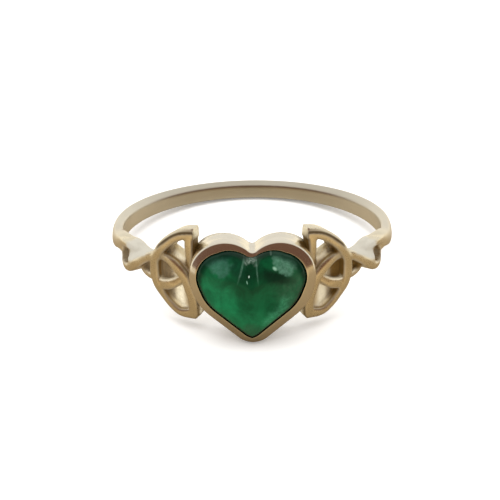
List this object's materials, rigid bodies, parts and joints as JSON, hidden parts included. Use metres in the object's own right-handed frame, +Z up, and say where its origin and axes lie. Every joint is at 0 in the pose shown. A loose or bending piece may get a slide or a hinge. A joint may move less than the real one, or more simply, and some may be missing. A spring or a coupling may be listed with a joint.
{
  "type": "emerald ring",
  "caption": "Plain round band opening into two pierced woven knots with loops beside a heart-shaped rubbed-over setting that holds a puffed heart stone.",
  "frame": {"origin": "on the surface the ring lies on, under the middle of its bounding box", "axes": "+Z up from that surface, -Y towards the heart, +X to the right as the heart is seen"},
  "size_m": [0.0188, 0.0214, 0.0067],
  "materials": {
    "gold": "pale yellow gold, polished faces, satin band, grainy cast floors under the knots",
    "emerald": "polished green cabochon with fine inclusions"
  },
  "bodies": {
    "root": {"gold_ring": "gold", "emerald": "emerald"}
  },
  "joints": []
}
